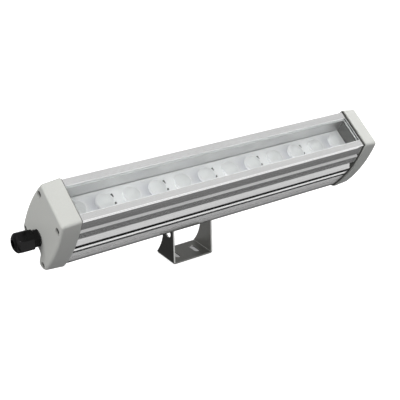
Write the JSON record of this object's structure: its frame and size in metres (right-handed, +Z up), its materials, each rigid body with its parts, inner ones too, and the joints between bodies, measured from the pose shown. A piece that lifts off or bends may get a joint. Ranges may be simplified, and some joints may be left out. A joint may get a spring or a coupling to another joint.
{
  "type": "outdoor wall washer light",
  "caption": "Linear outdoor wall washer light: finned aluminium bar with a row of lenses behind glass, grey end caps, cable gland and a tilting U bracket.",
  "frame": {"origin": "middle of the underside of the U bracket's base, where it sits on the wall or ground", "axes": "+Z up out of the mounting surface, +X along the bar away from the cable gland, -Y to the front, which the lenses lean towards at rest"},
  "size_m": [0.3571, 0.0856, 0.1254],
  "materials": {
    "cap_paint": "satin light grey powder coat",
    "anodised": "clear anodised, fine extrusion lines",
    "bracket_steel": "dark brushed sheet",
    "hanger_steel": "zinc plated sheet",
    "fastener_steel": "stainless",
    "toughened_glass": "clear, polished",
    "silicone_clear": "translucent grey silicone",
    "gasket_rubber": "dark grey silicone sheet",
    "board_white": "white solder mask on aluminium core",
    "pad_grey": "grey thermal pad",
    "emitter": "phosphor dome",
    "optic": "frosted acrylic",
    "holder_white": "white polycarbonate",
    "terminal_white": "white",
    "chip_black": "black epoxy",
    "cradle_plastic": "black flame-retardant sheet",
    "board_green": "green solder mask",
    "terminal_green": "green",
    "can_sleeve": "sleeved can",
    "ferrite": "grey-black ferrite",
    "winding_tape": "yellow tape over copper",
    "choke_green": "coated ring core",
    "fuse_brown": "brown",
    "lead_silicone": "white silicone insulated wire",
    "gland_nylon": "black nylon",
    "gland_rubber": "black",
    "nylon_washer": "black nylon"
  },
  "bodies": {
    "bracket": {"u_bracket": "bracket_steel", "pivot_bolts": "fastener_steel", "pivot_nuts": "fastener_steel", "friction_washers": "nylon_washer", "spring_washers": "fastener_steel"},
    "lamp": {"housing_extrusion": "anodised", "glass_cover": "toughened_glass", "glass_seal": "silicone_clear", "thermal_pad": "pad_grey", "led_board": "board_white", "led_emitters": "emitter", "lens_holders": "holder_white", "lenses": "optic", "board_diodes": "chip_black", "board_chips": "chip_black", "board_terminal": "terminal_white", "driver_cradle": "cradle_plastic", "driver_board": "board_green", "input_terminal": "terminal_green", "output_terminal": "terminal_green", "fuse": "fuse_brown", "filter_choke": "choke_green", "transformer_core": "ferrite", "transformer_windings": "winding_tape", "driver_capacitors": "can_sleeve", "output_leads": "lead_silicone", "left_end_cap": "cap_paint", "right_end_cap": "cap_paint", "left_cap_gasket": "gasket_rubber", "right_cap_gasket": "gasket_rubber", "left_cap_screws": "fastener_steel", "right_cap_screws": "fastener_steel", "gland_washer": "gland_rubber", "gland_body": "gland_nylon", "gland_locknut": "gland_nylon", "gland_claw": "gland_nylon", "gland_insert": "gland_rubber", "gland_dome_nut": "gland_nylon", "hanger": "hanger_steel", "hanger_nuts": "fastener_steel", "hanger_washers": "fastener_steel", "hanger_screws": "fastener_steel"}
  },
  "joints": [
    {"name": "tilt", "type": "hinge", "parent": "bracket", "child": "lamp", "pos_m": [0, -0.004, 0.042], "axis": [1, 0, 0], "range_deg": [-125, 55]}
  ]
}
